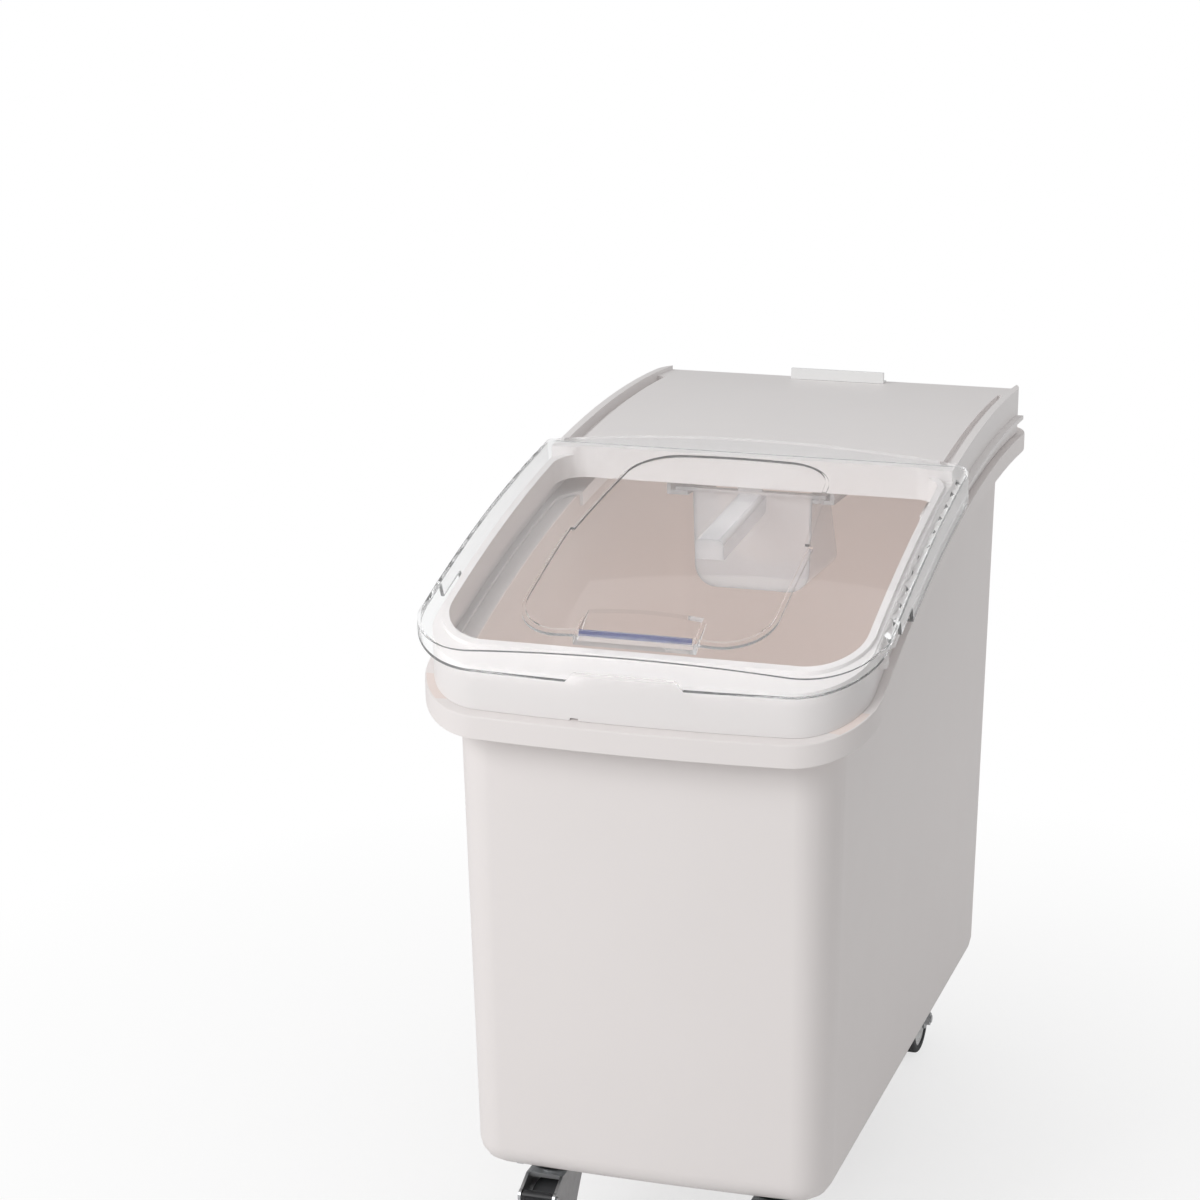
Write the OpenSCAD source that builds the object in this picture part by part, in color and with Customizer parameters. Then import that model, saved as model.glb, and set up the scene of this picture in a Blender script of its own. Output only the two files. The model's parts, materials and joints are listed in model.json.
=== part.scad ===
// Mobile rice and ingredient bin: a slant-front tub on four casters, with a
// one-piece top frame and hood, a clear lid that slides back along the hood,
// and a clear scoop that hangs under the hood on two hooks.
// Right-handed frame: +X to the right seen from the front, front faces -Y, +Z up,
// origin on the floor under the centre of the bin.

/* [Overall] */
// Width across the rolled rim of the tub
rim_w = 385; // [330:1:460]
// Distance from the centre to the foremost point of the rim
rim_front = 360; // [310:1:420]
// Height of the top of the hood at its highest point
apex_z = 702; // [600:1:760]
// Radius of the arc that the rim, frame, lid and hood all follow
arc_r = 1507; // [1300:1:1800]
// Distance behind the centre at which that arc is level
apex_y = 264; // [220:1:300]

/* [Plan outline] */
// Radius of the rim's front corners in plan
front_r = 65; // [55:1:80]
// Radius of the rim's rear corners in plan
back_r = 85; // [70:1:95]
// Forward bulge of the front face over its width
front_bow = 6; // [3:0.5:12]

/* [Tub] */
// Wall thickness of the tub
tub_wall = 4; // [3:0.5:6]
// Thickness of the tub's floor
tub_floor = 6; // [4:0.5:10]
// Inset of the tub's wall from the rim, just under the rim
neck_inset = 26; // [20:1:32]
// Extra inset of the tub's wall at its foot
draft_inset = 8; // [2:1:14]
// Radius of the rounded edge around the tub's underside
foot_r = 22; // [12:1:30]
// Height of the rolled rim's outer face
rim_h = 17.5; // [12:0.5:26]
// Thickness of the rolled rim
rim_t = 4; // [3:0.5:6]

/* [Top frame] */
// Height of the frame's outer band, from its seam with the rim to the rail top
band_h = 43.5; // [36:0.5:55]
// Inset of the band's outer face from the rim
band_inset = 7.5; // [6.5:0.5:10]
// Wall thickness of the frame
frame_t = 3; // [2.5:0.25:4]
// Half width of the opening
mouth_hw = 176; // [140:1:178]
// Distance from the centre to the opening's front edge
mouth_front = 325; // [285:0.5:330]
// Distance from the centre to the opening's rear edge
mouth_back = 18; // [12:1:40]
// Radius of the opening's front corners
mouth_front_r = 45; // [30:1:55]
// Radius of the opening's rear corners
mouth_back_r = 25; // [15:1:40]
// Depth of the skirt that hangs round the opening
mouth_skirt = 27; // [15:1:32]
// Width of the raised lip round the opening
lip_w = 6; // [4:0.5:7]
// Drop from the hood's rails to the lip, so that the lid's front skirt slides back over it
mouth_drop = 6.9; // [5:0.1:9]
// Drop from the lip to the shelf outside it
lip_step = 3; // [1:0.5:4]
// Drop from the rails to the hood's panel
hood_drop = 4; // [3:0.5:6]
// Width of the guide groove on each side of the hood
groove_w = 9; // [6:0.5:12]
// Depth of the guide grooves below the panel
groove_d = 6; // [3:0.5:8]
// Half width of the hood's panel, up to the grooves
panel_hw = 169; // [140:1:170]
// Distance from the centre to the square rear end of the grooves
groove_back = 262; // [230:1:280]
// Radius of the hood's rear top edge
hood_r = 45; // [18:1:48]
// How far the hook rail stands out from the band
rail_out = 7; // [5:0.5:8]
// Thickness of the hook rail
rail_t = 3.7; // [3:0.1:5]
// Depth of the hook rail's top below the rail top
rail_drop = 25; // [20:0.5:28]
// Width of the small prying notch in the band's lower edge
pry_w = 7; // [4:0.5:12]
// Distance of the prying notch from the centre
pry_x = 46; // [30:1:60]

/* [Lid] */
// How far the lid's skirt stands outside the rim
lid_over = 4.5; // [4:0.5:7]
// Wall thickness of the lid
lid_t = 3; // [2:0.25:4]
// Gap between the lid's underside and the rails that it slides on
lid_gap = 0.4; // [0.3:0.1:1]
// Radius of the lid's long top edges
lid_edge_r = 8; // [5:0.5:12]
// Length of the lid along the arc
lid_len = 374; // [300:1:384]
// Depth of the side skirts below the rail top
side_skirt = 32.5; // [31:0.5:36]
// Depth of the short skirt in front of each side skirt
short_skirt = 19; // [12:0.5:26]
// Distance along the arc from the apex to the front end of the side skirts
skirt_front = 498; // [450:1:540]
// Distance along the arc from the apex to the front end of the short skirts
short_front = 538; // [500:1:560]
// Thickness of the lip that hooks under the rail
hook_t = 2.5; // [2:0.1:3]
// Width of the lip that hooks under the rail
hook_w = 5; // [4:0.5:6]
// Half width of the notch in the front skirt
notch_hw = 42; // [30:1:55]
// Depth of the notch in the front skirt
notch_d = 8; // [5:0.5:10]
// Depth of the step down to the lid's D-shaped panel
panel_step = 2; // [1:0.25:2.5]
// Half width of the D-shaped panel
dee_hw = 104; // [80:1:120]
// Distance from the rim's front to the D-shaped panel and the finger pocket in it
dee_front = 25; // [20:1:40]
// Distance from the opening's rear edge to the rear of the D-shaped panel
dee_back = 38; // [20:1:60]
// Radius of the D-shaped panel's corners
dee_r = 40; // [25:1:50]
// Half width of the finger pocket
pocket_hw = 48; // [35:1:60]
// Length of the finger pocket along the lid
pocket_len = 30; // [20:1:40]

/* [Scoop and its hangers] */
// Width of the scoop's bowl at its top
bowl_w = 112; // [90:1:124]
// Width of the scoop's bowl at its bottom
bowl_bottom_w = 108; // [80:1:112]
// Height of the scoop's bowl
bowl_h = 91; // [60:1:94]
// Length of the scoop's bowl
bowl_len = 108; // [80:1:120]
// Wall thickness of the scoop
bowl_t = 2.5; // [2:0.25:3.5]
// Radius of the bowl's lower edges
bowl_r = 20; // [10:1:26]
// Depth of the top of the scoop's flange below the crossbar's skirt
scoop_drop = 4; // [2:0.5:8]
// Distance in front of the centre of the bowl's closed end
scoop_front = 7; // [4:0.5:9]
// How far the flange stands out from the bowl
flange_w = 14; // [10:0.5:16]
// Thickness of the flange
flange_t = 3; // [2:0.25:4]
// Length of the handle
handle_len = 132; // [90:1:140]
// Width of the handle
handle_w = 26; // [20:1:34]
// Height of the handle
handle_h = 18; // [12:1:22]
// Downward slope of the handle in degrees
handle_tilt = 7; // [3:0.5:10]
// Clearance beside the flange to the arms of the hooks
hook_side_gap = 4; // [1:0.5:6]
// Length of the hooks' runners
hook_len = 66; // [50:1:80]
// Gap between the flange and what holds it above and below
hook_gap = 0.3; // [0.3:0.1:0.6]

/* [Lid stop] */
// Width of the lid stop
stop_w = 95; // [60:1:140]
// Distance of the stop's front face behind the centre
stop_y = 292; // [280:1:296]
// Height of the top of the stop above the hood's highest point
stop_rise = 6.5; // [5:0.5:14]

/* [Casters] */
// Diameter of the wheels
wheel_d = 75; // [65:1:80]
// Height of a caster's crown, ball race and plate above the top of its wheel
caster_head = 27; // [26:0.5:40]
// Width of the tyres
tyre_w = 24; // [20:1:28]
// Horizontal distance from the swivel axis to the wheel's axle
trail = 22; // [15:1:26]
// Distance of the casters from the centre line
caster_x = 102; // [90:1:110]
// Distance of the swivel axes in front of the centre
caster_front = 258; // [230:1:265]
// Distance of the rigid casters behind the centre
caster_back = 258; // [230:1:265]
// Width of a caster's plate
plate_w = 62; // [58:1:70]
// Length of a caster's plate
plate_len = 82; // [78:1:92]
// Spacing of a caster's screws across the bin
screw_pitch_x = 44; // [40:1:46]
// Spacing of a caster's screws along the bin
screw_pitch_y = 64; // [60:1:68]
// Thickness of a caster's plate
plate_t = 3; // [2.5:0.25:4]
// Radius of an axle
axle_r = 4; // [3:0.25:5]
// Radius of a screw's shank
screw_r = 3; // [2.5:0.25:4]

/* [Hidden] */

// Facets of ordinary rounds, of the tub's rounds, of the large arc and of the lid's crown
round_fn = 64;
tub_fn = 40;
arc_fn = 720;
crown_fn = 480;
$fn = round_fn;
// Overshoot of a cutting shape past what it cuts
over = 1;
// Height of the tall blanks that are cut to the arc
blank_h = apex_z + 60;

// Plan of the rim: rear edge and bulge radius
rim_back = rim_front + lid_over;
bow_r = (pow(rim_w / 2, 2) + pow(front_bow, 2)) / (2 * front_bow);
arc_z = apex_z - arc_r;
// Gap between pieces that seat on or turn past each other, and radial gap of a running bore
seat_gap = 0.3;
run_gap = 0.05;

// Levels along the arc's radius, counted from the rail top
seam = -band_h;
frame_low = seam + seat_gap;
rim_low = seam - rim_h;
deck_low = -frame_t - hood_drop;
lid_side_top = lid_gap + lid_t;
rail_low = -rail_drop - rail_t;
hook_top = -side_skirt + hook_t;
front_skirt = mouth_drop - lid_gap;
front_low = -mouth_drop - lip_step - frame_t;
// Front of the hood's crossbar, where the frame steps up from the lip to the rails
step_y = -mouth_back - lip_w / 2;
// Level of the top of the scoop's flange, and half the distance across the hooks
scoop_z = arc_height(-mouth_back, -mouth_skirt) - scoop_drop;
hook_arm_t = 4;
hook_hw = bowl_w / 2 + flange_w + hook_side_gap + hook_arm_t;

// Half widths of the frame and the lid
band_hw = rim_w / 2 - band_inset;
lid_hw = rim_w / 2 + lid_over;
lid_front_d = arc_dist(-rim_front - lid_over);
lid_back_d = lid_front_d - lid_len;

// The lid's top is part of a sphere about the arc's centre, so it keeps its gaps as it slides
crown_r = sqrt(pow(arc_r + lid_side_top, 2) + pow(lid_hw - lid_edge_r, 2));

// Thickness of the lid stop, and the length and thickness of its foot
stop_t = 4;
stop_foot = 14;
stop_foot_t = 2;

// Height of the finger pocket's floor at its front wall above the top of the lid's sides
pocket_floor = 1.2;

// Level of the tub's underside and of the caster's pieces
tub_z = wheel_d + caster_head;
plate_low = tub_z - plate_t;
axle_z = wheel_d / 2;
crown_t = 4;
crown_z = wheel_d + 8;
race_z = crown_z + crown_t;

// Radii of the caster's balls, their ring, the kingpin, the hub, the rim and the brake's pin
ball_r = 3;
ball_ring = 14;
kingpin_r = 4.5;
hub_r = 9;
rim_r = wheel_d / 2 - 7.5;
brake_pin_r = 2.5;
ball_top = race_z + 2 * ball_r + seat_gap;

// Thickness of a fork's cheek and half the distance between the cheeks
cheek_t = 2.5;
cheek_gap = 2.5;
cheek_in = tyre_w / 2 + cheek_gap;

// Place of the brake's pin, from the swivel axis and in height, kept clear of the tyre
brake_inset = 8.5;
brake_drop = 2.5;
brake_y = -trail - (wheel_d / 2 - brake_inset);
brake_z = axle_z + (wheel_d / 2 - brake_drop);

// Colours of the mouldings, the clear pieces, the metal and the tyres
white = [0.93, 0.925, 0.91];
hood_white = [0.86, 0.855, 0.84];
clear = [0.82, 0.86, 0.9, 0.35];
zinc = [0.72, 0.73, 0.74];
tyre_grey = [0.3, 0.31, 0.32];

// Distance along the arc from its level point to the place at y
function arc_dist(y) = arc_r * asin((apex_y - y) / arc_r) * PI / 180;
// Angle at the arc's centre of a distance along it
function arc_deg(d) = d / arc_r * 180 / PI;
// Height of the arc, raised by off, at y
function arc_height(y, off = 0) = arc_z + sqrt(pow(arc_r + off, 2) - pow(apex_y - y, 2));

// The rim's outline in plan, moved inwards by inset
module plan(inset) {
    hw = rim_w / 2 - inset;
    front = -rim_front + inset;
    back = rim_back - inset;
    rf = front_r - inset;
    rb = back_r - inset;
    rbow = bow_r - inset;
    cx = hw - rf;
    cy = front + rbow - sqrt(pow(rbow - rf, 2) - pow(cx, 2));
    tangent_x = cx * rbow / (rbow - rf);
    intersection() {
        translate([0, front + rbow]) circle(rbow, $fn = 22 * $fn);
        translate([-tangent_x, front - over]) square([2 * tangent_x, rim_front]);
    }
    translate([-hw, cy]) square([2 * hw, back - rb - cy]);
    translate([-(hw - rb), 0]) square([2 * (hw - rb), back]);
    for (side = [-1, 1]) {
        translate([side * cx, cy]) circle(rf);
        translate([side * (hw - rb), back - rb]) circle(rb);
    }
}

// A tall block with the rim's outline
module blank(inset) {
    linear_extrude(blank_h) plan(inset);
}

// Everything inside the arc raised by off
module under(off) {
    translate([0, apex_y, arc_z]) rotate([0, 90, 0])
        cylinder(h = 3 * rim_w, r = arc_r + off, center = true, $fn = arc_fn);
}

// The layer between two levels of the arc
module layer(low, high) {
    difference() {
        under(high);
        under(low);
    }
}

// A profile of [radius, x] swept along the arc between two distances from its level point
module sweep(from, to) {
    translate([0, apex_y, arc_z]) rotate([0, -90, 0]) rotate([0, 0, -arc_deg(to)])
        rotate_extrude(angle = arc_deg(to - from), $fn = arc_fn) children();
}

// A rectangle with two front and two rear corner radii
module mouth_outline(grow) {
    hw = mouth_hw + grow;
    front = -mouth_front - grow;
    back = -mouth_back + grow;
    rf = mouth_front_r + grow;
    rb = mouth_back_r + grow;
    translate([-hw, front + rf]) square([2 * hw, back - rb - front - rf]);
    translate([-(hw - rf), front]) square([2 * (hw - rf), rf + over]);
    translate([-(hw - rb), back - rb - over]) square([2 * (hw - rb), rb + over]);
    for (side = [-1, 1]) {
        translate([side * (hw - rf), front + rf]) circle(rf);
        translate([side * (hw - rb), back - rb]) circle(rb);
    }
}

// Tub

// Inset of the tub's wall at height z above its underside, for a wall moved inwards by t
function tub_inset(z, t) = neck_inset + draft_inset * (1 - z / (arc_height(0) - tub_z)) + t;

// The tub's solid form, moved inwards by t and upwards by lift
module tub_form(t, lift) {
    edge_r = foot_r - t;
    steps = 4;
    slice = 0.01;
    hull() {
        for (i = [0:steps]) {
            a = 90 * i / steps;
            z = edge_r * (1 - cos(a));
            translate([0, 0, tub_z + lift + z]) linear_extrude(slice)
                plan(tub_inset(z, t) + edge_r * (1 - sin(a)), $fn = tub_fn);
        }
        translate([0, 0, blank_h]) linear_extrude(slice)
            plan(tub_inset(blank_h - tub_z, t), $fn = tub_fn);
    }
}

module tub() {
    boss_r = 9;
    boss_h = 13;
    hole_depth = 14;
    color(white) {
        difference() {
            union() {
                difference() {
                    tub_form(0, 0);
                    tub_form(tub_wall, tub_floor);
                }
                at_screws() translate([0, 0, tub_z + tub_floor - over]) cylinder(h = boss_h, r = boss_r);
            }
            at_screws() translate([0, 0, tub_z - over])
                cylinder(h = hole_depth + over, r = screw_r + run_gap);
            difference() {
                translate([-rim_w, -rim_front * 2, tub_z]) cube([2 * rim_w, 4 * rim_front, blank_h * 2]);
                under(seam);
            }
        }
        intersection() {
            layer(seam - rim_t, seam);
            difference() {
                blank(0);
                blank(neck_inset + tub_wall - over);
            }
        }
        intersection() {
            layer(rim_low, seam);
            difference() {
                blank(0);
                blank(rim_t);
            }
        }
    }
}

// Top frame

module frame_shell() {
    difference() {
        intersection() {
            layer(frame_low, 0);
            blank(band_inset);
            rear_round(0);
        }
        intersection() {
            union() {
                under(front_low);
                intersection() {
                    under(deck_low);
                    behind(step_y + frame_t);
                }
            }
            blank(band_inset + frame_t);
            rear_round(frame_t);
        }
    }
}

// Everything behind y
module behind(y) {
    translate([-rim_w, y, 0]) cube([2 * rim_w, 2 * rim_front, blank_h]);
}

// The block that rounds the hood's rear top edge, moved inwards by t
module rear_round(t) {
    y = rim_back - band_inset - hood_r;
    z = arc_height(rim_back - band_inset, -hood_drop) - hood_r;
    r = hood_r - t;
    big = 2 * rim_front;
    translate([-rim_w, -big, 0]) cube([2 * rim_w, big + y, blank_h]);
    translate([-rim_w, -big, 0]) cube([2 * rim_w, big + y + r, z]);
    translate([-rim_w, y, z]) rotate([0, 90, 0]) cylinder(h = 2 * rim_w, r = r, $fn = 2 * round_fn);
}

// The space over the hood's panel between the rails, and the grooves beside it
module hood_relief() {
    rail_in = panel_hw + groove_w;
    far = arc_dist(rim_back + over);
    sweep(far, arc_dist(-mouth_back + lip_w)) translate([arc_r - hood_drop, -rail_in])
        square([hood_drop * 4, 2 * rail_in]);
    for (side = [-1, 1])
        sweep(arc_dist(groove_back), arc_dist(-mouth_back + lip_w + frame_t))
            translate([arc_r - hood_drop - groove_d, side * (panel_hw + groove_w / 2) - groove_w / 2])
                square([groove_d + over, groove_w]);
}

// The wall under each groove, which keeps the hood closed
module groove_floor() {
    for (side = [-1, 1])
        sweep(arc_dist(groove_back + frame_t), arc_dist(-mouth_back + lip_w))
            translate([arc_r - hood_drop - groove_d - frame_t,
                       side * (panel_hw + groove_w / 2) - groove_w / 2 - frame_t])
                square([groove_d + frame_t + over, groove_w + 2 * frame_t]);
}

// The rail on each side that the lid's skirt hooks under
module hook_rails() {
    front = arc_dist(-rim_front + front_r);
    back = arc_dist(rim_back - back_r);
    w = rail_out + over;
    difference() {
        for (side = [-1, 1])
            sweep(back, front)
                translate([arc_r + rail_low, side * (band_hw + rail_out / 2 - over / 2) - w / 2])
                    square([rail_t, w]);
        rail_noses();
    }
}

// Slanted cuts that give each rail a wedge-shaped front end
module rail_noses() {
    nose = 18;
    nose_angle = 22;
    front = -rim_front + front_r + nose;
    for (side = [-1, 1])
        translate([side * (band_hw + rail_out), front, 0])
            rotate([0, 0, side * nose_angle])
                translate([side > 0 ? 0 : -2 * nose, -3 * nose, 0]) cube([2 * nose, 4 * nose, blank_h]);
}

module top_frame() {
    locator_h = 9;
    locator_gap = 0.5;
    locator_z = arc_height(-rim_front, seam) - locator_h - tub_z;
    locator_inset = tub_inset(locator_z, tub_wall) + locator_gap;
    pry_h = 2.5;
    color(hood_white) {
        difference() {
            union() {
                difference() {
                    union() {
                        frame_shell();
                        intersection() {
                            groove_floor();
                            blank(band_inset + frame_t / 2);
                        }
                    }
                    hood_relief();
                }
                intersection() {
                    layer(-mouth_skirt, -over);
                    linear_extrude(blank_h) mouth_outline(frame_t);
                }
                locating_lip(locator_inset, locator_h);
                intersection() {
                    hook_rails();
                    blank(-lid_over);
                }
            }
            linear_extrude(blank_h) mouth_outline(0);
            lid_way();
            translate([-pry_x - pry_w / 2, -rim_front - over, 0])
                cube([pry_w, 2 * band_inset, arc_height(-rim_front + band_inset, seam) + pry_h]);
        }
    }
}

// The space over the lip and over the shelf outside it, in front of the hood
module lid_way() {
    difference() {
        layer(-mouth_drop, over);
        behind(step_y);
    }
    difference() {
        layer(-mouth_drop - lip_step, over);
        behind(step_y);
        linear_extrude(blank_h) mouth_outline(lip_w);
    }
}

// The inner shelf and lip that drop inside the tub's mouth and locate the frame on it
module locating_lip(inset, h) {
    intersection() {
        layer(frame_low, frame_low + frame_t);
        difference() {
            blank(band_inset + frame_t / 2);
            blank(inset + frame_t);
        }
    }
    intersection() {
        layer(seam - h, frame_low + frame_t);
        difference() {
            blank(inset);
            blank(inset + frame_t);
        }
    }
}

// Sliding lid

// Everything under the lid's crowned top, lowered by drop
module under_crown(drop) {
    translate([0, apex_y, arc_z]) sphere(crown_r - drop, $fn = crown_fn);
}

// Cross-section of the lid's sides, [radius, x], moved inwards by t
module lid_profile(t, bottom) {
    hw = lid_hw - t;
    r = lid_edge_r - t;
    top = arc_r + lid_side_top - t;
    inner = hw - r;
    translate([arc_r + bottom, -hw]) square([top - r - arc_r - bottom, 2 * hw]);
    translate([arc_r + bottom, -inner]) square([4 * lid_edge_r - bottom, 2 * inner]);
    for (side = [-1, 1]) translate([top - r, side * inner]) circle(r);
}

// The lid's solid form, moved inwards by t, from a distance along the arc to its front
module lid_form(t, bottom, back) {
    intersection() {
        sweep(back, lid_front_d + foot_r) lid_profile(t, bottom);
        under_crown(t);
        blank(t - lid_over);
    }
}

// Outline of the D-shaped panel, grown by grow
module dee(grow) {
    front = -rim_front + dee_front;
    back = -mouth_back - dee_back;
    shoulder_share = 2.5;
    back_share = 0.86;
    shoulder = shoulder_share * dee_r;
    back_hw = dee_hw * back_share + grow;
    w = dee_hw + grow;
    r = dee_r + grow;
    translate([-w, front - grow + r]) square([2 * w, shoulder]);
    translate([-(w - r), front - grow]) square([2 * (w - r), shoulder]);
    polygon([[-w, front + shoulder], [w, front + shoulder], [back_hw, back + grow - r],
             [-back_hw, back + grow - r]]);
    translate([-(back_hw - r), back - r]) square([2 * (back_hw - r), r + grow]);
    for (side = [-1, 1]) {
        translate([side * (w - r), front - grow + r]) circle(r);
        translate([side * (back_hw - r), back + grow - r]) circle(r);
    }
}

// The space above the stepped-down panel and in the finger pocket, for a lid moved inwards by t
module lid_recess(t) {
    intersection() {
        linear_extrude(blank_h) dee(t);
        difference() {
            under_crown(-over);
            under_crown(panel_step + t);
        }
    }
    finger_pocket(t);
}

// The finger pocket: deep at its front wall, rising to the panel behind it
module finger_pocket(t) {
    front = -rim_front + dee_front + panel_step / 4;
    hw = pocket_hw + t;
    low = arc_height(front, lid_side_top + pocket_floor) - t;
    high = arc_height(front + pocket_len, crown_r - arc_r - panel_step) - t;
    top = high + 3 * lid_t;
    translate([-hw, 0, 0]) rotate([90, 0, 90]) linear_extrude(2 * hw)
        polygon([[front - t, low], [front - t, top], [front + pocket_len, top], [front + pocket_len, high]]);
}

// The lid's outside and its inside, each with the panel and pocket stepped down
module lid_outer() {
    difference() {
        lid_form(0, -side_skirt, lid_back_d);
        lid_recess(0);
    }
}

module lid_inner() {
    inner_hw = lid_hw - lid_t;
    difference() {
        lid_form(lid_t, hook_top, lid_back_d + lid_t);
        lid_recess(lid_t);
    }
    sweep(lid_back_d - over, lid_back_d + 2 * lid_t) translate([arc_r + hook_top, -inner_hw])
        square([lid_gap - hook_top, 2 * inner_hw]);
    sweep(lid_back_d - over, lid_front_d + foot_r) translate([arc_r - side_skirt - over, hook_w - inner_hw])
        square([hook_t + 2 * over, 2 * (inner_hw - hook_w)]);
}

module sliding_lid() {
    color(clear) difference() {
        lid_outer();
        lid_inner();
        lid_skirt_cuts();
    }
}

// What is cut from the lower edge of the skirts: the front, the short skirts and the notch
module lid_skirt_cuts() {
    w = 2 * lid_hw + 2 * over;
    sweep(short_front, lid_front_d + foot_r) translate([arc_r - side_skirt - over, -w / 2])
        square([side_skirt + over - front_skirt, w]);
    sweep(skirt_front, short_front + over) translate([arc_r - side_skirt - over, -w / 2])
        square([side_skirt + over - short_skirt, w]);
    low = arc_height(-rim_front - lid_over, -front_skirt);
    translate([0, -rim_front + front_bow, 0]) rotate([90, 0, 0]) linear_extrude(2 * front_bow + lid_over)
        polygon([[-notch_hw - notch_d, low - over], [notch_hw + notch_d, low - over],
                 [notch_hw, low + notch_d], [-notch_hw, low + notch_d]]);
}

// Lid stop

module lid_stop() {
    top = apex_z + stop_rise;
    color(white) intersection() {
        union() {
            translate([-stop_w / 2, stop_y, 0]) cube([stop_w, stop_t, top]);
            intersection() {
                translate([-stop_w / 2, stop_y, 0]) cube([stop_w, stop_foot, top]);
                under(stop_foot_t - hood_drop);
            }
        }
        difference() {
            translate([-stop_w, 0, apex_z - 2 * hood_r]) cube([2 * stop_w, rim_back, 3 * hood_r]);
            under(-hood_drop);
        }
    }
}

// Scoop hangers

// An L-shaped runner hung from the hood's underside, side -1 or 1
module scoop_hook(side) {
    foot_w = 20;
    foot_t = 3.7;
    foot_top = scoop_z - flange_t - hook_gap;
    y = -mouth_back + frame_t;
    color(white) {
        intersection() {
            translate([side * (hook_hw - hook_arm_t / 2) - hook_arm_t / 2, y, foot_top - foot_t])
                cube([hook_arm_t, hook_len, blank_h]);
            under(deck_low);
        }
        translate([side * (hook_hw - foot_w / 2) - foot_w / 2, y, foot_top - foot_t])
            cube([foot_w, hook_len, foot_t]);
    }
}

// The tab under the crossbar that keeps the scoop's flange down on its runners
module scoop_catch() {
    tab_w = 23;
    color(white) intersection() {
        translate([-tab_w / 2, -mouth_back + frame_t, scoop_z + hook_gap]) cube([tab_w, frame_t, blank_h]);
        under(deck_low);
    }
}

// Scoop

// Cross-section of the bowl in X and height, moved inwards by t
module bowl_section(t) {
    top_hw = bowl_w / 2 - t;
    low_hw = bowl_bottom_w / 2 - t;
    r = bowl_r - t;
    polygon([[-top_hw, bowl_h + over], [top_hw, bowl_h + over], [low_hw, r + t], [low_hw - r, t],
             [r - low_hw, t], [-low_hw, r + t]]);
    for (side = [-1, 1]) translate([side * (low_hw - r), r + t]) circle(r);
}

// The bowl's solid form, moved inwards by t, with its slanted mouth
module bowl_form(t) {
    slant = 52;
    intersection() {
        translate([0, bowl_len, 0]) rotate([90, 0, 0]) linear_extrude(bowl_len - t) bowl_section(t);
        rotate([90, 0, 90]) translate([0, 0, -bowl_w]) linear_extrude(2 * bowl_w)
            polygon([[0, 0], [bowl_len, 0], [bowl_len, 4], [bowl_len - slant, bowl_h + 2 * t],
                     [0, bowl_h + 2 * t]]);
    }
}

module scoop() {
    flange_back = bowl_len - 54;
    flange_front = 7;
    color(clear) translate([0, -scoop_front, scoop_z - bowl_h]) {
        difference() {
            union() {
                intersection() {
                    bowl_form(0);
                    translate([-bowl_w, -over, -over]) cube([2 * bowl_w, 2 * bowl_len, bowl_h + over]);
                }
                translate([-bowl_w / 2 - flange_w, -flange_front, bowl_h - flange_t])
                    cube([bowl_w + 2 * flange_w, flange_back + flange_front, flange_t]);
            }
            bowl_form(bowl_t);
        }
        scoop_handle();
    }
}

// The handle: a channel open below, closed at its end
module scoop_handle() {
    t = bowl_t;
    r = 5;
    intersection() {
        translate([0, 0, bowl_h - flange_t / 2]) rotate([handle_tilt, 0, 0])
            translate([0, bowl_t, -handle_h]) rotate([90, 0, 0]) difference() {
                linear_extrude(handle_len + bowl_t) handle_section(r);
                translate([0, -2 * over, bowl_t]) linear_extrude(handle_len - t) offset_section(t, r);
            }
        translate([-bowl_w, -2 * handle_len, 0]) cube([2 * bowl_w, 2 * handle_len, bowl_h + over]);
    }
}

// The handle's section, flat below and rounded above
module handle_section(r) {
    hw = handle_w / 2;
    translate([-hw, 0]) square([2 * hw, handle_h - r]);
    translate([-(hw - r), 0]) square([2 * (hw - r), handle_h]);
    for (side = [-1, 1]) translate([side * (hw - r), handle_h - r]) circle(r);
}

// The hollow of the handle's section
module offset_section(t, r) {
    hw = handle_w / 2 - t;
    translate([-hw, 0]) square([2 * hw, handle_h - r + over]);
    translate([-(hw - r + t), 0]) square([2 * (hw - r + t), handle_h - t + 2 * over]);
    for (side = [-1, 1]) translate([side * (hw - r + t), handle_h - r + 2 * over]) circle(r - t);
}

// Casters

// Repeats its children at every screw of every caster plate
module at_screws() {
    for (x = [-caster_x, caster_x], y = [-caster_front, caster_back], i = [-0.5, 0.5], j = [-0.5, 0.5])
        translate([x + i * screw_pitch_x, y + j * screw_pitch_y, 0]) children();
}

// Moves its children to a front caster's swivel axis
module at_front(side) {
    translate([side * caster_x, -caster_front, 0]) children();
}

// Moves its children to a rear caster's centre
module at_rear(side) {
    translate([side * caster_x, caster_back, 0]) children();
}

module caster_screws() {
    head_h = 4;
    head_r = 5.5;
    color(zinc) at_screws() {
        translate([0, 0, plate_low - head_h]) cylinder(h = head_h, r = head_r, $fn = 6);
        translate([0, 0, plate_low - over]) cylinder(h = plate_t + over + 12, r = screw_r);
    }
}

// A caster's top plate with rounded corners and four screw holes
module caster_plate() {
    r = 8;
    w = plate_w;
    l = plate_len;
    difference() {
        union() {
            translate([-w / 2 + r, -l / 2, plate_low]) cube([w - 2 * r, l, plate_t]);
            translate([-w / 2, -l / 2 + r, plate_low]) cube([w, l - 2 * r, plate_t]);
            for (i = [-1, 1], j = [-1, 1])
                translate([i * (w / 2 - r), j * (l / 2 - r), plate_low]) cylinder(h = plate_t, r = r);
        }
        for (i = [-0.5, 0.5], j = [-0.5, 0.5])
            translate([i * screw_pitch_x, j * screw_pitch_y, plate_low - over])
                cylinder(h = plate_t + 2 * over, r = screw_r + seat_gap);
    }
}

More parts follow.
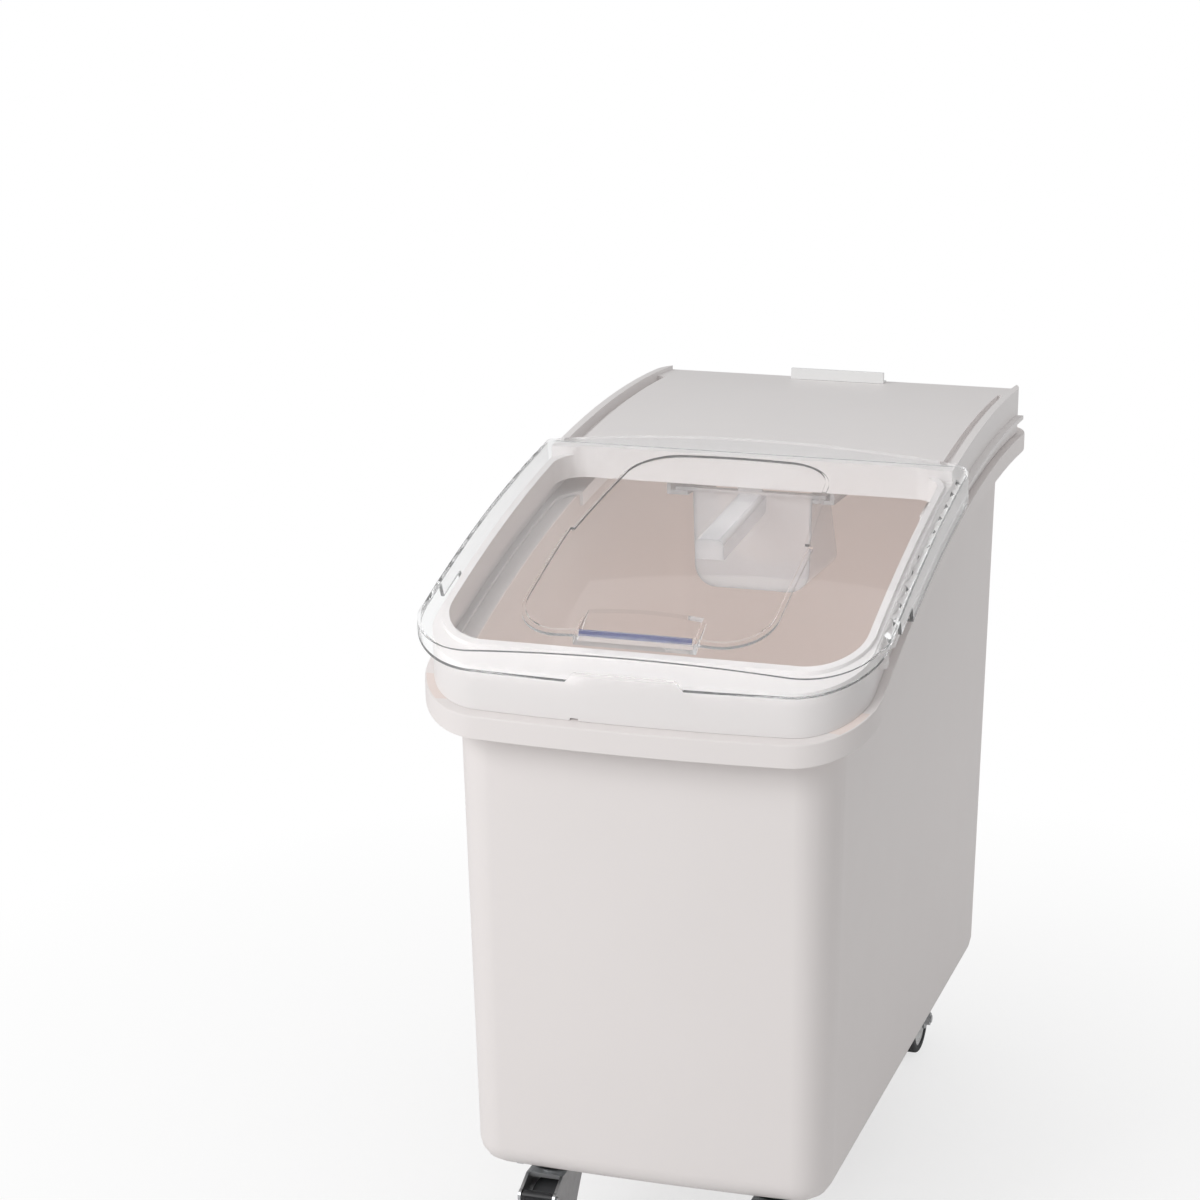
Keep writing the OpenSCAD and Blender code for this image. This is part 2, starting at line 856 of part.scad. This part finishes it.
module swivel_plate(side) {
    cup_r = 24;
    cup_t = 2.5;
    cup_lift = 1.5;
    color(zinc) at_front(side) difference() {
        union() {
            caster_plate();
            translate([0, 0, race_z + cup_lift]) cylinder(h = plate_low - race_z - cup_lift, r = cup_r);
        }
        translate([0, 0, crown_z]) cylinder(h = ball_top - crown_z, r = cup_r - cup_t);
        translate([0, 0, crown_z]) cylinder(h = tub_z - crown_z + over, r = kingpin_r);
    }
}

module kingpin(side) {
    head_h = 3.5;
    color(zinc) at_front(side) {
        translate([0, 0, crown_z - seat_gap - head_h]) cylinder(h = head_h, r = 8);
        translate([0, 0, crown_z - seat_gap - over])
            cylinder(h = tub_z - crown_z + seat_gap + over, r = kingpin_r);
    }
}

module swivel_balls(side) {
    count = 12;
    color(zinc) at_front(side) for (i = [0:count - 1])
        rotate([0, 0, 360 * i / count]) translate([ball_ring, 0, race_z + ball_r])
            sphere(ball_r, $fn = 24);
}

// Side outline of a swivel fork's cheek, in distance from the axis and height
module fork_cheek() {
    end_r = 11;
    ear_r = 6;
    translate([-trail, axle_z]) circle(end_r);
    translate([brake_y, brake_z]) circle(ear_r);
    polygon([[-trail + end_r - 1, axle_z - 4], [-trail - end_r + 1, axle_z - 4],
             [brake_y - ear_r + 0.5, brake_z - 2.5], [brake_y, brake_z + ear_r],
             [brake_y + 16, race_z], [20, race_z], [20, crown_z - 6]]);
}

module fork(side) {
    color(zinc) at_front(side) difference() {
        union() {
            translate([0, 0, crown_z]) cylinder(h = crown_t, r = 20);
            translate([-cheek_in - cheek_t, -34, crown_z])
                cube([2 * (cheek_in + cheek_t), 46, crown_t]);
            for (s = [-1, 1])
                translate([s * (cheek_in + cheek_t / 2) - cheek_t / 2, 0, 0]) rotate([90, 0, 90])
                    linear_extrude(cheek_t) fork_cheek();
        }
        translate([0, 0, crown_z - over]) cylinder(h = crown_t + 2 * over, r = kingpin_r + run_gap);
        across(-trail, axle_z) cylinder(h = 3 * tyre_w, r = axle_r + 0.1, center = true);
        across(brake_y, brake_z) cylinder(h = 3 * tyre_w, r = brake_pin_r + 0.1, center = true);
    }
}

// Lays its children along X at a distance from the axis and a height
module across(y, z) {
    translate([0, y, z]) rotate([0, 90, 0]) children();
}

// A hex bolt with its nut, across a caster at a distance from its axis
module axle(y) {
    grip = cheek_in + cheek_t;
    hex_h = 4.5;
    across(y, axle_z) {
        cylinder(h = 2 * grip + 2 * hex_h + 3, r = axle_r, center = true);
        for (s = [-1, 1])
            translate([0, 0, s * (grip + hex_h / 2)]) cylinder(h = hex_h, r = 7.5, center = true, $fn = 6);
    }
}

// A wheel's core: hub, web and rim turned in one piece
module wheel_core(y) {
    hub_hw = cheek_in - seat_gap;
    rim_hw = tyre_w / 2 - 2;
    web_hw = 3;
    across(y, axle_z) rotate_extrude(convexity = 4)
        polygon([[axle_r + run_gap, -hub_hw], [hub_r, -hub_hw], [hub_r + 1, -web_hw - 2],
                 [hub_r + 3, -web_hw], [rim_r - 6, -web_hw], [rim_r - 3.5, -rim_hw], [rim_r, -rim_hw],
                 [rim_r, rim_hw],
                 [rim_r - 3.5, rim_hw], [rim_r - 6, web_hw], [hub_r + 3, web_hw], [hub_r + 1, web_hw + 2],
                 [hub_r, hub_hw], [axle_r + run_gap, hub_hw]]);
}

// A tyre with rounded shoulders, seated on the core's rim
module tyre(y) {
    bore = rim_r + seat_gap;
    r = (wheel_d / 2 - bore) / 2;
    hw = tyre_w / 2;
    across(y, axle_z) rotate_extrude(convexity = 4) {
        translate([bore, -hw + r]) square([wheel_d / 2 - bore, 2 * (hw - r)]);
        translate([bore, -hw]) square([wheel_d / 2 - bore - r, 2 * hw]);
        for (s = [-1, 1]) translate([wheel_d / 2 - r, s * (hw - r)]) circle(r);
    }
}

module brake_pin(side) {
    color(zinc) at_front(side) across(brake_y, brake_z)
        cylinder(h = 2 * (cheek_in + cheek_t + 1.5), r = brake_pin_r, center = true);
}

// The brake's pedal: hub on the pin, tread to step on and shoe against the tyre
module brake_pedal(side) {
    hub = 5.2;
    hw = cheek_in - 1;
    tread_hw = hw - 1;
    tread_l = 26;
    tread_t = 4;
    tread_drop = 1;
    tread_angle = 12;
    shoe = [6, 20];
    color(tyre_grey) at_front(side) difference() {
        union() {
            across(brake_y, brake_z) cylinder(h = 2 * hw, r = hub, center = true);
            translate([-tread_hw, brake_y, brake_z]) rotate([tread_angle, 0, 0])
                translate([0, -tread_l - hub, -tread_drop])
                    cube([2 * tread_hw, tread_l + hub, tread_t]);
            translate([-tread_hw, brake_y - shoe[0] / 2, brake_z - shoe[1]])
                cube([2 * tread_hw, shoe[0], shoe[1]]);
        }
        across(brake_y, brake_z) cylinder(h = 3 * tyre_w, r = brake_pin_r + run_gap, center = true);
        across(-trail, axle_z) cylinder(h = 3 * tyre_w, r = wheel_d / 2 + seat_gap, center = true);
    }
}

// A rigid caster's bracket: plate and two straight cheeks
module rigid_bracket(side) {
    end_r = 11;
    foot_hw = 24;
    color(zinc) at_rear(side) difference() {
        union() {
            caster_plate();
            for (s = [-1, 1])
                translate([s * (cheek_in + cheek_t / 2) - cheek_t / 2, 0, 0]) rotate([90, 0, 90])
                    linear_extrude(cheek_t) {
                        translate([0, axle_z]) circle(end_r);
                        polygon([[-end_r, axle_z - 1], [end_r, axle_z - 1], [foot_hw, plate_low + over],
                                 [-foot_hw, plate_low + over]]);
                    }
        }
        across(0, axle_z) cylinder(h = 3 * tyre_w, r = axle_r + 0.1, center = true);
    }
}

tub();
top_frame();
sliding_lid();
lid_stop();
scoop_hook(-1);  // scoop_hook_left
scoop_hook(1);  // scoop_hook_right
scoop_catch();
scoop();
caster_screws();
swivel_plate(-1);  // swivel_plate_left
kingpin(-1);  // kingpin_left
swivel_balls(-1);  // swivel_balls_left
fork(-1);  // fork_left
color(zinc) at_front(-1) axle(-trail);  // front_axle_left
color(white) at_front(-1) wheel_core(-trail);  // front_wheel_left
color(tyre_grey) at_front(-1) tyre(-trail);  // front_tyre_left
brake_pin(-1);  // brake_pin_left
brake_pedal(-1);  // brake_pedal_left
swivel_plate(1);  // swivel_plate_right
kingpin(1);  // kingpin_right
swivel_balls(1);  // swivel_balls_right
fork(1);  // fork_right
color(zinc) at_front(1) axle(-trail);  // front_axle_right
color(white) at_front(1) wheel_core(-trail);  // front_wheel_right
color(tyre_grey) at_front(1) tyre(-trail);  // front_tyre_right
brake_pin(1);  // brake_pin_right
brake_pedal(1);  // brake_pedal_right
rigid_bracket(-1);  // rigid_bracket_left
color(zinc) at_rear(-1) axle(0);  // rear_axle_left
color(white) at_rear(-1) wheel_core(0);  // rear_wheel_left
color(tyre_grey) at_rear(-1) tyre(0);  // rear_tyre_left
rigid_bracket(1);  // rigid_bracket_right
color(zinc) at_rear(1) axle(0);  // rear_axle_right
color(white) at_rear(1) wheel_core(0);  // rear_wheel_right
color(tyre_grey) at_rear(1) tyre(0);  // rear_tyre_right
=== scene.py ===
import json
import math

import bmesh
import bpy
from mathutils import Matrix, Vector
from mathutils.bvhtree import BVHTree

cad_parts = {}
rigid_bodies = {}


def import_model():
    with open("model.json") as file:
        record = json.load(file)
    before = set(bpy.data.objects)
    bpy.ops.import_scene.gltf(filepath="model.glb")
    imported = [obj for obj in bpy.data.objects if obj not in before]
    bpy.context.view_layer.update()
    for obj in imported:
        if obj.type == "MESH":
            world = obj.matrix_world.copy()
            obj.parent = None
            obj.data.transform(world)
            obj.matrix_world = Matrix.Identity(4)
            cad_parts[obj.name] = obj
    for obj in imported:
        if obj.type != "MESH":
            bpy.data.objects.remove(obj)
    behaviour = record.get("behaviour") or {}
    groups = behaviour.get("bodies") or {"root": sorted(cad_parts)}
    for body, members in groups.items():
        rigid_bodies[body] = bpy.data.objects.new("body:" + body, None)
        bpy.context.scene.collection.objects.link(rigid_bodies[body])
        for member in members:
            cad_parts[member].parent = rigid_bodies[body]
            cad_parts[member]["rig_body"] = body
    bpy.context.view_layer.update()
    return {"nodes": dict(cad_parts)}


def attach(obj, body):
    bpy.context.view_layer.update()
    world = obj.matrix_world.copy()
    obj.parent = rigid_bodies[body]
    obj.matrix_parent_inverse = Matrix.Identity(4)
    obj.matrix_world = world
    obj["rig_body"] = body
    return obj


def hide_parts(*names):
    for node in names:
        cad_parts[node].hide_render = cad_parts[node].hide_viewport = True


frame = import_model()
nodes = frame["nodes"]
bodyOf = {name: node["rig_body"] for name, node in nodes.items()}
scene = bpy.context.scene
print("frame loaded:", len(nodes), "nodes")


# Camera: the photograph's viewing angle, fitted to the rim, the lid and the hood
camera = {
    "place": (0.6315, -2.1830, 1.1012),
    "yaw": 0.2598,
    "pitch": 0.33658,
    "roll": 0.01484,
    "lens": 76.56,
    "sensor": 36.0,
    "shift": (-0.1703, 0.2042),
}


def makeCamera(c):
    data = bpy.data.cameras.new("camera")
    data.lens = c["lens"]
    data.sensor_width = c["sensor"]
    data.shift_x, data.shift_y = c["shift"]
    data.clip_end = 50
    yaw, pitch, roll = c["yaw"], c["pitch"], c["roll"]
    ahead = Vector((-math.sin(yaw) * math.cos(pitch), math.cos(yaw) * math.cos(pitch), -math.sin(pitch)))
    right = Vector((math.cos(yaw), math.sin(yaw), 0))
    up = right.cross(ahead)
    across = right * math.cos(roll) + up * math.sin(roll)
    upward = up * math.cos(roll) - right * math.sin(roll)
    turn = Matrix((across, upward, -ahead)).transposed().to_4x4()
    obj = bpy.data.objects.new("camera", data)
    obj.matrix_world = Matrix.Translation(c["place"]) @ turn
    scene.collection.objects.link(obj)
    scene.camera = obj


makeCamera(camera)


# Shader maths: a socket with the usual operators
class Value:
    def __init__(self, tree, socket):
        self.tree, self.socket = tree, socket

    def maths(self, kind, other, turned=False):
        pair = [other, self] if turned else [self, other]
        return self.tree.node("ShaderNodeMath", {"operation": kind}, pair).out()

    def __add__(self, other):
        return self.maths("ADD", other)

    __radd__ = __add__

    def __mul__(self, other):
        return self.maths("MULTIPLY", other)

    __rmul__ = __mul__

    def __sub__(self, other):
        return self.maths("SUBTRACT", other)

    def __rsub__(self, other):
        return self.maths("SUBTRACT", other, turned=True)

    def __truediv__(self, other):
        return self.maths("DIVIDE", other)

    def __pow__(self, other):
        return self.maths("POWER", other)

    def clamped(self):
        return self.tree.node("ShaderNodeClamp", {}, [self]).out()


class Made:
    def __init__(self, tree, node):
        self.tree, self.node = tree, node

    def out(self, name=0):
        return Value(self.tree, self.node.outputs[name])


class Tree:
    def __init__(self, name, world=False):
        self.owner = (bpy.data.worlds if world else bpy.data.materials).new(name)
        self.owner.use_nodes = True
        self.outputKind = "ShaderNodeOutputWorld" if world else "ShaderNodeOutputMaterial"
        self.nodes = self.owner.node_tree.nodes
        self.links = self.owner.node_tree.links
        self.nodes.clear()

    def node(self, kind, settings=None, values=()):
        made = self.nodes.new(kind)
        for key, setting in (settings or {}).items():
            setattr(made, key, setting)
        pairs = values.items() if isinstance(values, dict) else enumerate(values)
        for key, value in pairs:
            if isinstance(value, Value):
                self.links.new(value.socket, made.inputs[key])
            else:
                socket = made.inputs[key]
                isColour = socket.type == "RGBA" and len(value) == 3
                socket.default_value = (*value, 1) if isColour else value
        return Made(self, made)

    def coords(self):
        return self.node("ShaderNodeTexCoord").out("Object")

    def noise(self, vector, scale, detail):
        values = {"Vector": vector, "Scale": scale, "Detail": detail}
        return self.node("ShaderNodeTexNoise", {}, values).out("Fac")

    def mixColour(self, amount, first, second):
        made = self.node("ShaderNodeMix", {"data_type": "RGBA"}, {0: amount, 6: first, 7: second})
        return made.out(2)

    def output(self, shader):
        self.node(self.outputKind, {}, {"Surface": shader})
        return self.owner


# Patterns in the materials: noise scale and detail, per metre
patterns = {
    "cloudy": (9.0, 4.0),
    "slow": (30.0, 3.0),
    "moulding": (900.0, 2.0),
    "scuffs": (60.0, 4.0),
    "brushed": (700.0, 2.0),
    "spangle": (160.0, 3.0),
}


# Moulded plastic: faint mottling, a fine moulding texture and slow changes of gloss
plastic = {
    "ior": 1.5,
    "contrast": 1.6,
    "shift": 0.3,
    "bump": 0.25,
    "grain": 0.00003,
    "coarseGrain": 0.00006,
    "glossSpread": 0.12,
}


def mouldedPlastic(name, colour, shade, roughness, grain=plastic["grain"], glow=None):
    tree = Tree(name)
    place = tree.coords()
    cloudy = tree.noise(place, *patterns["cloudy"])
    fine = tree.noise(place, *patterns["moulding"])
    slow = tree.noise(place, *patterns["slow"])
    tint = tree.mixColour((cloudy * plastic["contrast"] - plastic["shift"]).clamped(), colour, shade)
    bumps = {"Strength": plastic["bump"], "Distance": grain, "Height": fine}
    values = {
        "Base Color": tint,
        "Roughness": slow * plastic["glossSpread"] + (roughness - plastic["glossSpread"] / 2),
        "IOR": plastic["ior"],
        "Normal": tree.node("ShaderNodeBump", {}, bumps).out(),
    }
    if glow:
        values["Emission Color"] = glow[0]
        values["Emission Strength"] = glow[1]
    surface = tree.node("ShaderNodeBsdfPrincipled", {}, values)
    return tree.output(surface.out())


# Clear plastic: light passes it straight where it casts a shadow
def clearPlastic(name, colour, roughness, ior, passing, clearness):
    tree = Tree(name)
    scuffs = tree.noise(tree.coords(), *patterns["scuffs"])
    surface = tree.node("ShaderNodeBsdfPrincipled", {}, {
        "Base Color": colour,
        "Roughness": (scuffs * roughness).clamped(),
        "IOR": ior,
        "Transmission Weight": clearness,
    }).out()
    straight = tree.node("ShaderNodeBsdfTransparent", {}, {"Color": passing}).out()
    shadow = tree.node("ShaderNodeLightPath").out("Is Shadow Ray")
    return tree.output(tree.node("ShaderNodeMixShader", {}, [shadow, surface, straight]).out())


# Zinc-plated steel: a faint spangle and fine brushing
steel = {
    "colour": (0.62, 0.63, 0.64),
    "darker": 0.82,
    "roughness": 0.34,
    "glossSpread": 0.18,
    "bump": 0.3,
    "grain": 0.00003,
}


def platedSteel(name):
    tree = Tree(name)
    place = tree.coords()
    spangle = tree.noise(place, *patterns["spangle"])
    fine = tree.noise(place, *patterns["brushed"])
    tint = tree.mixColour(spangle, steel["colour"], tuple(c * steel["darker"] for c in steel["colour"]))
    bumps = {"Strength": steel["bump"], "Distance": steel["grain"], "Height": fine}
    surface = tree.node("ShaderNodeBsdfPrincipled", {}, {
        "Base Color": tint,
        "Metallic": 1.0,
        "Roughness": spangle * steel["glossSpread"] + (steel["roughness"] - steel["glossSpread"] / 2),
        "Normal": tree.node("ShaderNodeBump", {}, bumps).out(),
    })
    return tree.output(surface.out())


# Each finish: colour, shaded colour and roughness
finishes = {
    "tub": ((0.83, 0.787, 0.775), (0.815, 0.772, 0.76), 0.46),
    # The inside finish is painted shade: the tub's own white, made darker and warmer where the walls shade it
    "inside": ((0.61, 0.54, 0.515), (0.59, 0.524, 0.5), 0.6),
    "frame": ((0.84, 0.81, 0.803), (0.825, 0.795, 0.788), 0.42),
    "white": ((0.87, 0.87, 0.865), (0.855, 0.855, 0.85), 0.4),
    "tyre": ((0.07, 0.072, 0.076), (0.055, 0.056, 0.06), 0.62),
    "pedal": ((0.03, 0.03, 0.033), (0.025, 0.025, 0.027), 0.45),
    "strip": ((0.014, 0.024, 0.17), (0.018, 0.032, 0.2), 0.35),
}
# Painted light: emission that stands in for light which has crossed the translucent walls many times and
# leaves the inside warm and even, and for light on the hooks and the frame's skirt, which sit in shade
paintedGlows = {
    "inside": ((1.0, 0.86, 0.79), 0.2),
    "hooks": ((1.0, 0.97, 0.95), 0.4),
    "skirt": ((1.0, 0.93, 0.9), 0.16),
}
clear = {
    "lid": {
        "colour": (0.985, 0.988, 0.99),
        "roughness": 0.01,
        "ior": 1.28,
        "passing": (0.95, 0.95, 0.955),
        "clearness": 0.94,
    },
    "scoop": {
        "colour": (0.95, 0.95, 0.96),
        "roughness": 0.3,
        "ior": 1.4,
        "passing": (0.9, 0.9, 0.91),
        "clearness": 0.7,
    },
}
tubWhite = mouldedPlastic("tubWhite", *finishes["tub"])
# Painted shade and painted glow on the inside of the tub
insidePaintedShadeGlow = mouldedPlastic("insidePaintedShadeGlow", *finishes["inside"], glow=paintedGlows["inside"])
frameWhite = mouldedPlastic("frameWhite", *finishes["frame"])
smallWhite = mouldedPlastic("smallWhite", *finishes["white"])
tyreGrey = mouldedPlastic("tyreGrey", *finishes["tyre"], grain=plastic["coarseGrain"])
pedalBlack = mouldedPlastic("pedalBlack", *finishes["pedal"], grain=plastic["coarseGrain"])
zincPlate = platedSteel("zincPlate")
lidClear = clearPlastic("lidClear", **clear["lid"])
scoopClear = clearPlastic("scoopClear", **clear["scoop"])
stripBlue = mouldedPlastic("stripBlue", *finishes["strip"])
# The scoop hooks and catch glow: painted light where they sit in shade under the crossbar
hookPaintedGlow = mouldedPlastic("hookPaintedGlow", *finishes["white"], glow=paintedGlows["hooks"])
# The frame's inner skirt glows: painted light on faces that sit in shade
skirtPaintedGlow = mouldedPlastic("skirtPaintedGlow", *finishes["frame"], glow=paintedGlows["skirt"])

# The look of each node by the start of its name; the rest are plated steel
looks = {
    "tub": tubWhite,
    "top_frame": frameWhite,
    "sliding_lid": lidClear,
    "scoop": scoopClear,
    "lid_stop": smallWhite,
    "scoop_hook": hookPaintedGlow,
    "scoop_catch": hookPaintedGlow,
    "front_wheel": smallWhite,
    "rear_wheel": smallWhite,
    "front_tyre": tyreGrey,
    "rear_tyre": tyreGrey,
    "brake_pedal": pedalBlack,
}


def lookOf(name):
    return next((look for key, look in looks.items() if name.startswith(key)), zincPlate)


for name, node in nodes.items():
    node.data.materials.clear()
    node.data.materials.append(lookOf(name))
print("materials given to the CAD nodes")


# Edge widths of the moulded pieces, in metres, 0 for welded and smoothed only. The rest, the lid
# among them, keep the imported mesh
softEdges = {
    "tub": 0.0012,
    "top_frame": 0,
    "scoop": 0.0006,
    "lid_stop": 0.0006,
    "scoop_hook_left": 0.0005,
    "scoop_hook_right": 0.0005,
    "scoop_catch": 0.0005,
}
softening = {
    "sharp": math.radians(32),
    "weld": 0.00003,
    "flat": 0.0015,
    "segments": 2,
    "farthest": 0.6,
    "proudest": 0.05,
}

# Painted shade and glow on the inside of the tub, and painted glow on the frame's skirt down its sides and
# front
innerPaintedLight = {"tub": insidePaintedShadeGlow, "top_frame": skirtPaintedGlow}
inner = {
    "halfWidth": 0.166,
    "halfLength": 0.336,
    "inward": -0.02,
    "floorUp": 0.7,
    "skirtUp": 0.5,
    "crossbar": -0.6,
}


# Faces that take the painted shade and glow materials
def isInside(name, face):
    place, facing = face.calc_center_median(), face.normal
    within = abs(place.x) < inner["halfWidth"] and abs(place.y) < inner["halfLength"]
    inward = facing.x * place.x + facing.y * place.y < inner["inward"] * place.xy.length
    if name == "tub":
        return within and (inward or facing.z > inner["floorUp"])
    upright = abs(facing.z) < inner["skirtUp"]
    return name == "top_frame" and within and inward and facing.y > inner["crossbar"] and upright


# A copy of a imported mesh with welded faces, bevelled edges and smooth shading
def softened(name, width):
    bm = bmesh.new()
    bm.from_mesh(nodes[name].data)
    bmesh.ops.remove_doubles(bm, verts=bm.verts, dist=softening["weld"])
    packed = BVHTree.FromBMesh(bm)
    if width:
        bmesh.ops.dissolve_limit(bm, angle_limit=softening["flat"], verts=bm.verts, edges=bm.edges)
        sharp = [e for e in bm.edges if e.is_manifold and e.calc_face_angle() > softening["sharp"]]
        bmesh.ops.bevel(bm, geom=sharp, offset=width, segments=softening["segments"], affect="EDGES",
                        profile=0.5, material=-1, clamp_overlap=False)
        for vert in bm.verts:
            near, facing, face, gap = packed.find_nearest(vert.co)
            proud = (vert.co - near).dot(facing)
            if gap > width * softening["farthest"] or proud > width * softening["proudest"]:
                vert.co = near
    for face in bm.faces:
        face.smooth = True
        # Inner faces take the painted shade and glow material
        face.material_index = 1 if isInside(name, face) else 0
    for edge in bm.edges:
        edge.smooth = not (edge.is_manifold and edge.calc_face_angle() > softening["sharp"])
    mesh = bpy.data.meshes.new(name + "Soft")
    bm.to_mesh(mesh)
    bm.free()
    mesh.materials.append(lookOf(name))
    if name in innerPaintedLight:
        mesh.materials.append(innerPaintedLight[name])
    piece = bpy.data.objects.new(name + "Soft", mesh)
    scene.collection.objects.link(piece)
    piece.modifiers.new("even", "WEIGHTED_NORMAL").keep_sharp = True
    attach(piece, bodyOf[name])
    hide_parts(name)
    return piece


for name, width in softEdges.items():
    softened(name, width)
print("edges softened:", ", ".join(softEdges))


# The blue strip along the front wall of the lid's finger pocket
strip = {
    "place": (0.0, -0.3342, 0.5898),
    "size": (0.094, 0.0004, 0.0052),
    "edge": 0.00015,
}
bm = bmesh.new()
bmesh.ops.create_cube(bm, size=1)
bmesh.ops.scale(bm, vec=strip["size"], verts=bm.verts)
bmesh.ops.bevel(bm, geom=list(bm.edges), offset=strip["edge"], segments=2, affect="EDGES", profile=0.5,
                material=-1)
bmesh.ops.translate(bm, vec=strip["place"], verts=bm.verts)
stripMesh = bpy.data.meshes.new("pocketStrip")
bm.to_mesh(stripMesh)
bm.free()
stripMesh.materials.append(stripBlue)
stripPiece = bpy.data.objects.new("pocketStrip", stripMesh)
scene.collection.objects.link(stripPiece)
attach(stripPiece, "lid")


# Floor, backdrop and lights
stage = {
    "floor": 12.0,
    "colour": (0.93, 0.93, 0.93),
    "world": 0.44,
    "shadowReach": 1.1,
    "fadeCurve": 0.6,
    "nearest": 0.5,
}


# Seen straight or through the lid, the floor fades to plain white away from the bin
def plainWhite(name, colour):
    tree = Tree(name)
    surface = tree.node("ShaderNodeBsdfDiffuse", {}, {"Color": colour}).out()
    glow = tree.node("ShaderNodeEmission", {}, {"Color": (1, 1, 1), "Strength": 1.0}).out()
    rays = tree.node("ShaderNodeLightPath")
    seen = (rays.out("Is Camera Ray") + rays.out("Is Transmission Ray")).clamped()
    away = tree.node("ShaderNodeVectorMath", {"operation": "LENGTH"}, [tree.coords()]).out("Value")
    faded = (away / stage["shadowReach"]).clamped() ** stage["fadeCurve"]
    faded = faded * (1 - stage["nearest"]) + stage["nearest"]
    return tree.output(tree.node("ShaderNodeMixShader", {}, [seen * faded, surface, glow]).out())


floorMesh = bpy.data.meshes.new("floor")
bm = bmesh.new()
bmesh.ops.create_grid(bm, x_segments=1, y_segments=1, size=stage["floor"] / 2)
bm.to_mesh(floorMesh)
bm.free()
floorMesh.materials.append(plainWhite("floorWhite", stage["colour"]))
floorPiece = bpy.data.objects.new("floor", floorMesh)
scene.collection.objects.link(floorPiece)


def studioWorld(strength):
    tree = Tree("studio", world=True)
    light = tree.node("ShaderNodeBackground", {}, {"Color": (1, 1, 1), "Strength": strength}).out()
    white = tree.node("ShaderNodeBackground", {}, {"Color": (1, 1, 1), "Strength": 1.0}).out()
    seen = tree.node("ShaderNodeLightPath").out("Is Camera Ray")
    return tree.output(tree.node("ShaderNodeMixShader", {}, [seen, light, white]).out())


scene.world = studioWorld(stage["world"])

lamps = {
    "key": {"place": (-2.0, -2.9, 2.4), "aim": (0, 0, 0.5), "size": 2.2, "power": 73},
    "above": {"place": (0, 0.2, 3.0), "aim": (0, 0, 0.5), "size": 2.4, "power": 11},
    "side": {"place": (0.9, 1.1, 0.8), "aim": (0.2, 0.2, 0.4), "size": 0.8, "power": 2},
}
for name, lamp in lamps.items():
    data = bpy.data.lights.new(name, "AREA")
    data.size = lamp["size"]
    data.energy = lamp["power"]
    obj = bpy.data.objects.new(name, data)
    ahead = Vector(lamp["aim"]) - Vector(lamp["place"])
    obj.matrix_world = Matrix.Translation(lamp["place"]) @ ahead.to_track_quat("-Z", "Y").to_matrix().to_4x4()
    obj.visible_camera = False
    scene.collection.objects.link(obj)

scene.view_settings.view_transform = "Standard"
print("stage and lights made")
